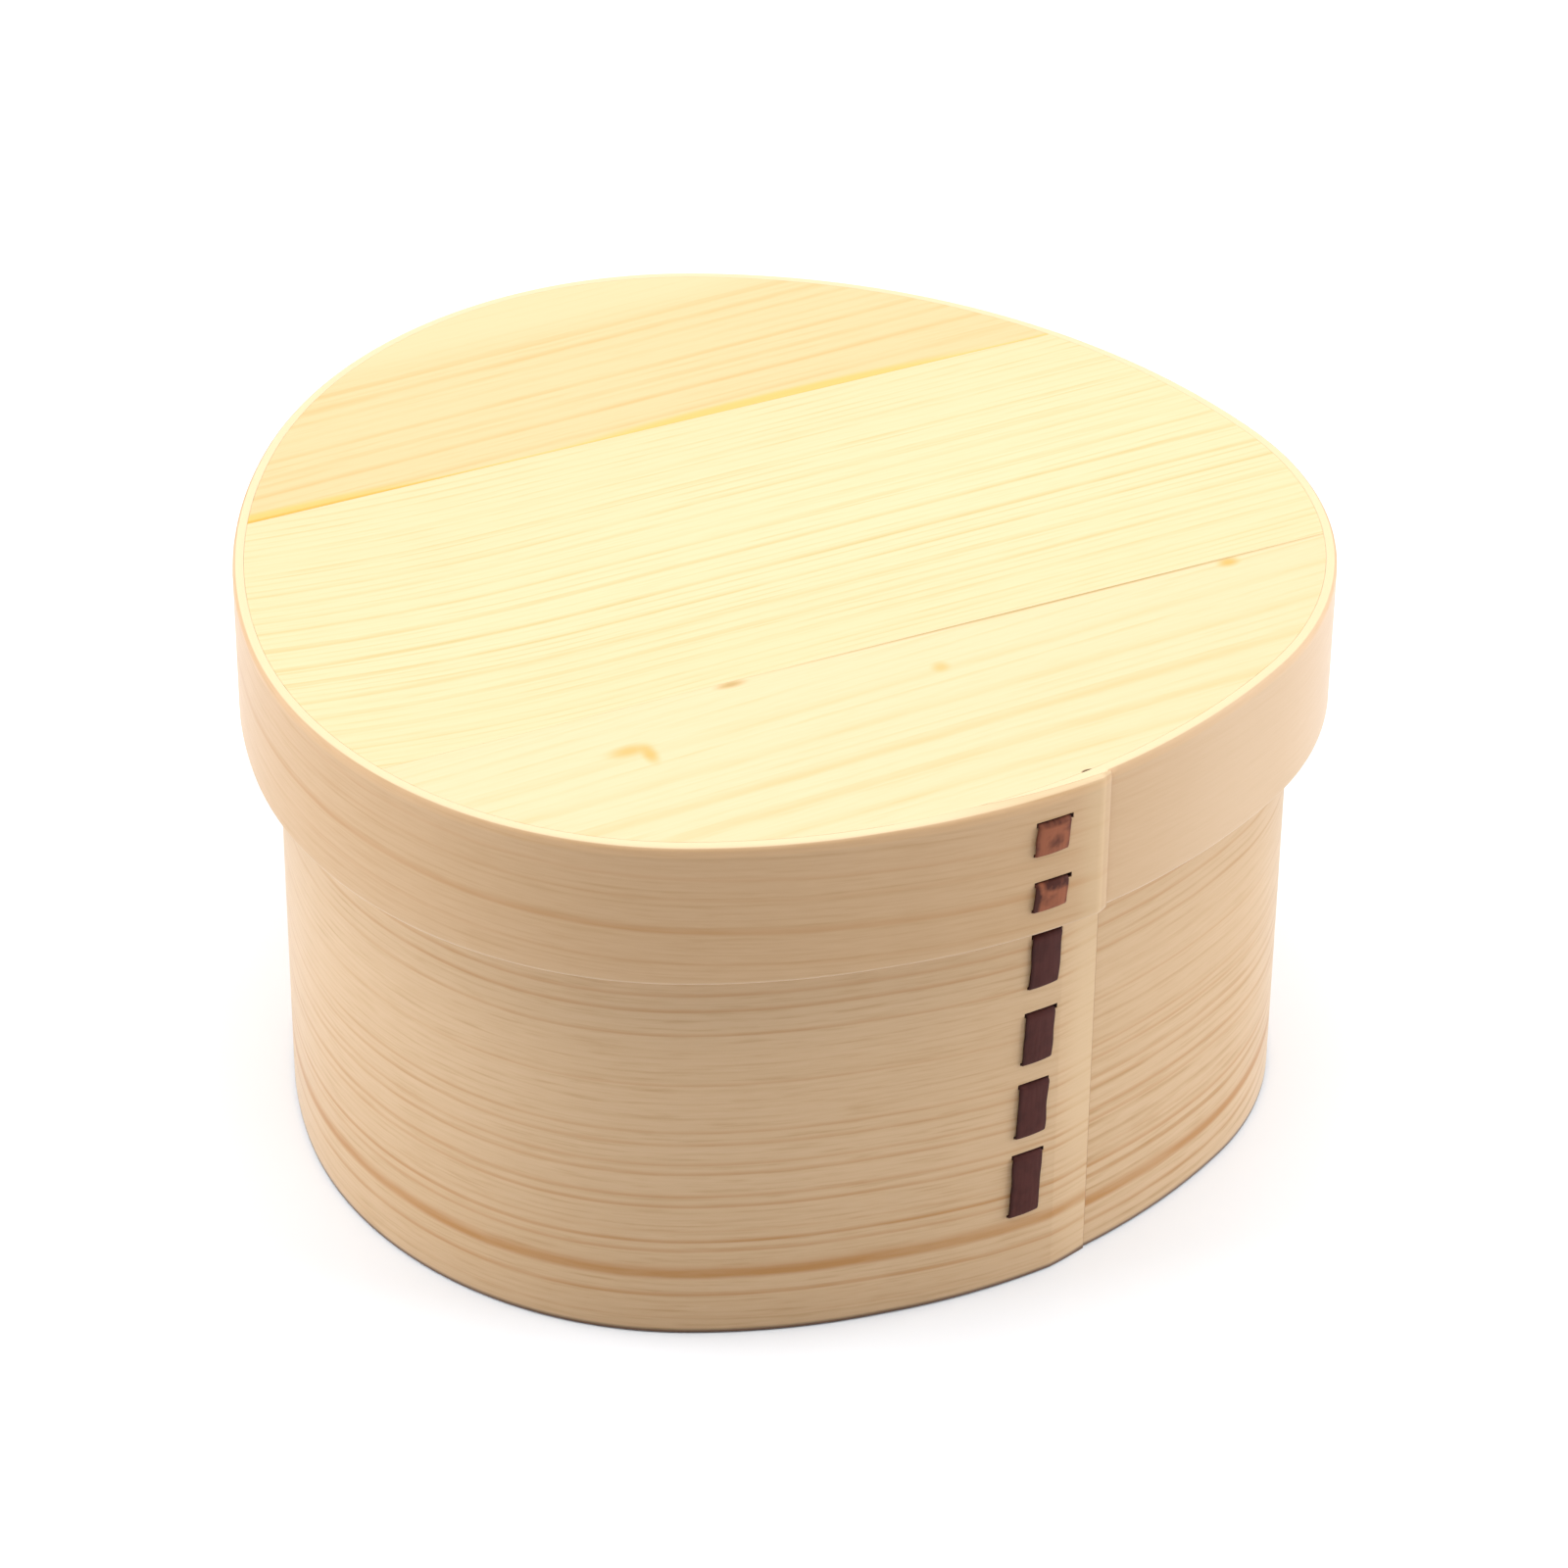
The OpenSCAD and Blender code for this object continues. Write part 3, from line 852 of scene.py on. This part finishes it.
def thicken_bark(piece):
    """Gives a strip of bark its thickness and eases its edges"""
    solid = piece.modifiers.new("thickness", "SOLIDIFY")
    solid.thickness = bark_t
    solid.offset = 0
    soft_edge = piece.modifiers.new("soft edge", "BEVEL")
    soft_edge.width = bark_t / 4
    soft_edge.segments = 2
    soft_edge.limit_method = "ANGLE"
    soft_edge.angle_limit = soft_edge_angle


bark_specular = 0.11
bark_streaks = (6, 160, 0)
bark_blotches = (1, 420, 0)
bark_tatters = (3, 900, 0)
blotch_share = (0.42, 0.66)
edge_band = (0.75, 1)
streak_dim = 0.4
edge_dim = 0.4
mean_dim = 0.1
tatter_most = 1.6
tatter_least = 0.2
mark_soft = 0.6
bark_bump = 0.3
streak_rough = 0.25


def bark_skin(name, pale, dark, mottle, smooth, marks):
    """Bark with streaks along the strip, darker edges and blotches. Marks are dark spots, for blotches and
    for painted shade: share of the half width, height, reach across and up, and strength"""
    material = new_material(name)
    tree = material.node_tree
    shader = tree.nodes["Principled BSDF"]
    shader.inputs["Specular IOR Level"].default_value = bark_specular
    place = add_node(tree, "ShaderNodeAttribute", attribute_name="bark").outputs["Vector"]
    parts = add_node(tree, "ShaderNodeSeparateXYZ", {0: place}).outputs
    streak = cloudy(tree, place, bark_streaks, 3)
    blotch = cloudy(tree, place, bark_blotches, 3)
    edge = ease(tree, calc(tree, "ABSOLUTE", parts["X"]), *edge_band)
    dim = calc(tree, "MULTIPLY", ease(tree, blotch, *blotch_share), mottle)
    dim = calc(tree, "MULTIPLY_ADD", streak, streak_dim, dim)
    dim = calc(tree, "MULTIPLY_ADD", edge, edge_dim, dim)
    dim = calc(tree, "SUBTRACT", dim, mean_dim)
    tatters = cloudy(tree, place, bark_tatters, 2)
    ragged = calc(tree, "MULTIPLY_ADD", tatters, tatter_most, tatter_least)
    for side, height, reach_side, reach_up, strength in marks:
        mark = spot(tree, place, (side, 0, height), (reach_side, 0, reach_up), strength, mark_soft)
        dim = calc(tree, "MULTIPLY_ADD", mark, ragged, dim)
    dim = add_node(tree, "ShaderNodeClamp", {"Value": dim}).outputs[0]
    raised = add_node(
        tree, "ShaderNodeBump", {"Height": streak, "Strength": bark_bump, "Distance": bump_deep}
    ).outputs["Normal"]
    tree.links.new(blend(tree, dim, pale, dark), shader.inputs["Base Color"])
    tree.links.new(calc(tree, "MULTIPLY_ADD", streak, streak_rough, smooth), shader.inputs["Roughness"])
    tree.links.new(raised, shader.inputs["Normal"])
    return material


maroon_bark = bark_skin(
    "maroon_bark", linear(77, 39, 34), linear(48, 22, 19), mottle=0.25, smooth=0.45, marks=[]
)
box_bark_bm = draw_bark(box_stitches, box_inset, box_stitch_back, box_sway, box_bark_w, luck=3)
box_sewing = add_piece("box_sewing", box_bark_bm, maroon_bark, True)
thicken_bark(box_sewing)
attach(box_sewing, "box")
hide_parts("box_bark")

# The lid band is a low strip of the same wood, bent a little wider so that the lid drops over the box.
# A rabbet inside its top takes the lid board, which leaves a narrow rim showing round the board.
lid_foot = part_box("lid_band")[0].z
lid_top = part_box("lid_band")[1].z
lid_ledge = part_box("lid_plank_middle")[0].z
arris_round = 0.0008
lid_bevel = 0.0016
lid_blunt = 0.0004
lid_corners = [
    (0, lid_foot, edge_round),
    (0, lid_foot + edge_support, 0),
    (0, lid_top - edge_support, 0),
    (0, lid_top, arris_round),
    (rabbet_w - band_t, lid_top, rim_ease),
    (rabbet_w - band_t, lid_ledge, 0),
    (-band_t, lid_ledge, 0),
    (-band_t, lid_foot + edge_support, 0),
    (-band_t, lid_foot, edge_round),
]
lid_bm, lid_strip_l = bend_strip(lid_corners, 0, lid_bevel)
lap_ends(lid_bm, lid_strip_l, lid_bevel, lid_blunt, lid_ledge, lid_top)
lid_stitches = [(0.0676, 0.0724, 0.0004), (0.0766, 0.0820, 0.0003)]
lid_bark_w = 0.0047
lid_stitch_back = 0.0089
lid_sway = [(0.0676, -0.00018), (0.0724, 0.00018), (0.0766, -0.00018), (0.0820, 0.00018)]
cut_slits(lid_bm, lid_stitches, 0, lid_stitch_back, lid_sway, lid_bark_w)
lid_lines = [(0.0700, 0.0014, 0.5), (0.0751, 0.0008, 0.15), (0.0784, 0.0008, 0.2), (0.0648, 0.0008, 0.15)]
lid_early = linear(200, 165, 128)
rim_cream = linear(227, 201, 160)
arris_painted_glow = linear(220, 173, 122)
lid_edges = [
    # Painted glow, orange, just under the rounded top arris
    (lid_top - arris_round, 0.0009, 0.2, 0.2, arris_painted_glow),
    (lid_top, 0.0002, 1, 0.6, rim_cream),
    # Painted highlight along the rounded lower arris
    (lid_foot, 0.0006, 0.6, 0.3, end_pale),
]
lid_wood = band_wood(
    "lid_band_wood", lid_strip_l, lid_early,
    ring_ws=(0.0017, 0.0013), strengths=(0.1, 0.28), flecks=(0.17, 0.2), pale=(0.5, 0), slope=0.043, sag=0,
    lines=lid_lines, edges=lid_edges, end_l=lid_bevel, bevel_shade_share=0.25,
)
lid_hoop = add_piece("lid_hoop", lid_bm, lid_wood, True)
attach(lid_hoop, "lid")
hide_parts("lid_band")

# The lid board is three planks, each from another tree, glued edge to edge and planed flush with the rim.
# The back one is orange and broadly grained, the middle one fine and pale, and the front one is knotty.
for order in plank_edges:
    node_low, node_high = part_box("lid_plank_" + order)
    plank_bm = saw_plank(order, rim_w + board_gap, node_low.z, node_high.z)
    plank = add_piece("top_" + order, plank_bm, plank_woods[order], False)
    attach(plank, "lid")
    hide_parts("lid_plank_" + order)

# The lid's sewing is a shorter strip of cherry bark, from a younger branch: copper brown with dark blotches.
# It makes two stitches in the lid band's lap, in line with those of the box, and is drawn through its slits.
copper_blotches_and_shade = [
    # Painted shade across the top of the upper stitch, where the bark bends into its slit
    (0, 0.0818, 1.5, 0.0010, 0.6),
    (0.2, 0.0787, 0.55, 0.0015, 0.35),
    (0.3, 0.0717, 1.1, 0.0013, 0.8),
    # Painted shadow down the left side of the lower stitch
    (-0.9, 0.0698, 0.35, 0.003, 0.8),
]
copper_bark = bark_skin(
    "copper_bark", linear(150, 88, 61), linear(74, 38, 30), mottle=0.4, smooth=0.4, marks=copper_blotches_and_shade
)
lid_bark_bm = draw_bark(lid_stitches, 0, lid_stitch_back, lid_sway, lid_bark_w, luck=8)
lid_sewing = add_piece("lid_sewing", lid_bark_bm, copper_bark, True)
thicken_bark(lid_sewing)
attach(lid_sewing, "lid")
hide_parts("lid_bark")

# The floor is a plain pale sheet. The light is soft: one broad panel above, a narrow one in front of it that
# throws the lid's shadow on the wall of the box, and one tall panel at each side.
floor_reach = 3
floor_white = (0.88, 0.88, 0.88, 1)
floor_rough = 0.9
floor_bm = bmesh.new()
bmesh.ops.create_grid(floor_bm, x_segments=1, y_segments=1, size=floor_reach)
floor_paint = new_material("floor_paint")
floor_shader = floor_paint.node_tree.nodes["Principled BSDF"]
floor_shader.inputs["Base Color"].default_value = floor_white
floor_shader.inputs["Roughness"].default_value = floor_rough
floor = add_piece("floor", floor_bm, floor_paint, False)


def add_panel(name, place, target, size, power, color):
    """A soft light panel that faces a target"""
    data = bpy.data.lights.new(name, "AREA")
    data.shape = "RECTANGLE"
    data.size, data.size_y = size
    data.energy = power
    data.color = color
    panel = bpy.data.objects.new(name, data)
    facing = (place - target).to_track_quat("Z", "Y").to_matrix().to_4x4()
    panel.matrix_world = Matrix.Translation(place) @ facing
    bpy.context.scene.collection.objects.link(panel)


panel_target = Vector((0, 0, 0.05))
white = (1, 1, 1)
cool_white = (0.92, 1, 1.1)
room_grey = (0.12, 0.12, 0.12, 1)
add_panel("top_panel", Vector((0, 0.3, 1.75)), panel_target, (2.2, 1.8), 30.6, white)
add_panel("front_panel", Vector((-0.05, -0.7, 1.8)), panel_target, (1.3, 0.34), 7.4, white)
add_panel("left_panel", Vector((-1.6, 0.1, 0.65)), panel_target, (1.4, 1.2), 31.2, cool_white)
add_panel("right_panel", Vector((1.6, 0.1, 0.65)), panel_target, (1.4, 1.2), 30, cool_white)
world = bpy.data.worlds.new("studio")
bpy.context.scene.world = world
world.use_nodes = True
world.node_tree.nodes["Background"].inputs["Color"].default_value = room_grey
bpy.context.scene.view_settings.view_transform = "Standard"

# The camera stands in front of the box and looks down on it, as the photograph was taken.
# Its place, tilt and focal length were fitted to the photographed outline.
focal_px = 6962
frame_px = 1600
sensor_w = 36
camera_place = Vector((-0.00974, -0.7249, 0.6121))
camera_target = Vector((-0.00058, -0.05117, 0.08572))
camera_roll = math.radians(-0.54)
nearest = 0.01
camera_data = bpy.data.cameras.new("camera")
camera_data.sensor_width = sensor_w
camera_data.lens = focal_px / frame_px * sensor_w
camera_data.clip_start = nearest
camera = bpy.data.objects.new("camera", camera_data)
bpy.context.scene.collection.objects.link(camera)
back_axis = (camera_place - camera_target).normalized()
level_right = Vector((0, 0, 1)).cross(back_axis).normalized()
level_up = back_axis.cross(level_right)
right = math.cos(camera_roll) * level_right - math.sin(camera_roll) * level_up
camera_axes = Matrix((right, back_axis.cross(right), back_axis)).transposed()
camera.matrix_world = Matrix.Translation(camera_place) @ camera_axes.to_4x4()
bpy.context.scene.camera = camera
